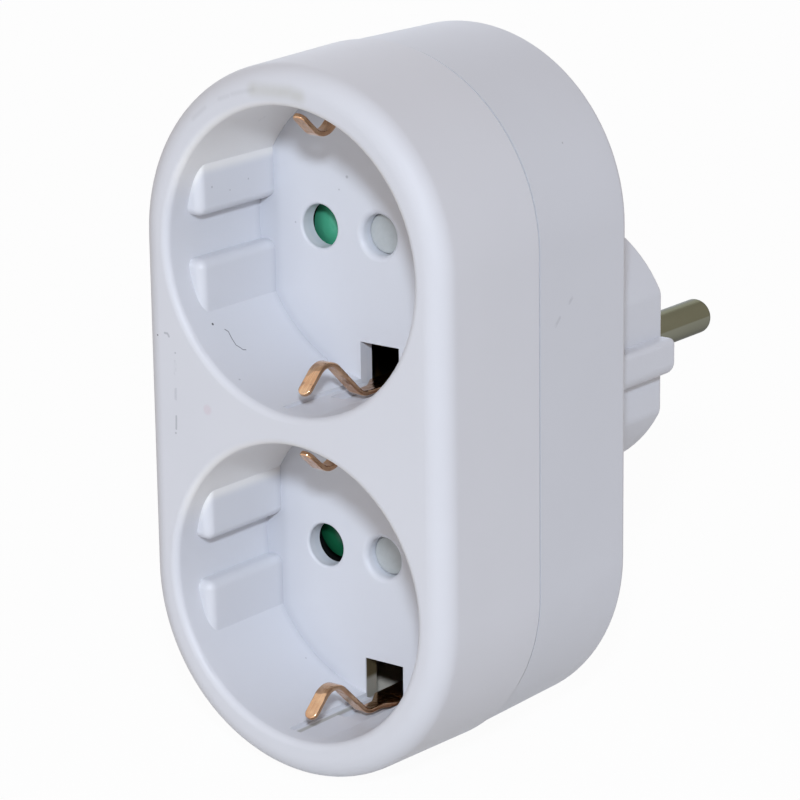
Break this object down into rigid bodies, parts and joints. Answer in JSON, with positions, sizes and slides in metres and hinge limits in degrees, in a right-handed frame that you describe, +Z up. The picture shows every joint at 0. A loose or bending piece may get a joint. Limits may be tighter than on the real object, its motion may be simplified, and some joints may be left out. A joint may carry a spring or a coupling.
{
  "type": "multi socket adapter",
  "caption": "Upright plug-in adapter with round ends: recessed earthed sockets on the front, safety shutters inside, and a round-pin plug on the back.",
  "frame": {"origin": "centre of the plug's end face, where it meets the floor of a wall socket", "axes": "+X right seen from the front, +Y along the plug into the wall, +Z up"},
  "size_m": [0.0486, 0.0774, 0.0924],
  "materials": {
    "white_plastic": "satin moulding",
    "green_plastic": "glossy moulding",
    "grey_plastic": "satin moulding",
    "carrier_plastic": "plain moulding",
    "copper": "stamped strip",
    "brass": "stamped strip",
    "nickel": "dull plated",
    "steel": "plated"
  },
  "bodies": {
    "housing": {"front_cover": "white_plastic", "rear_housing": "white_plastic", "left_pin": "nickel", "right_pin": "nickel", "left_busbar": "brass", "right_busbar": "brass", "contact_carrier": "carrier_plastic", "upper_left_contact": "brass", "upper_right_contact": "brass", "lower_left_contact": "brass", "lower_right_contact": "brass", "upper_earth_yoke": "copper", "lower_earth_yoke": "copper", "plug_earth_yoke": "copper", "earth_rivets": "steel", "upper_screw": "steel", "lower_screw": "steel", "upper_shutter_spring": "steel", "lower_shutter_spring": "steel", "upper_screw_cap": "grey_plastic", "lower_screw_cap": "grey_plastic"},
    "upper_shutter": {"upper_shutter": "green_plastic"},
    "lower_shutter": {"lower_shutter": "green_plastic"}
  },
  "joints": [
    {"name": "upper_shutter_turn", "type": "hinge", "parent": "housing", "child": "upper_shutter", "pos_m": [0, -0.0356, 0.02135], "axis": [0, -1, 0], "range_deg": [0, 36], "stiffness_Nm_per_rad": 0.002, "springref_deg": -20.05, "deforming": ["upper_shutter_spring"]},
    {"name": "lower_shutter_turn", "type": "hinge", "parent": "housing", "child": "lower_shutter", "pos_m": [0, -0.0356, -0.02135], "axis": [0, 1, 0], "range_deg": [0, 36], "stiffness_Nm_per_rad": 0.002, "springref_deg": -20.05, "deforming": ["lower_shutter_spring"]}
  ]
}
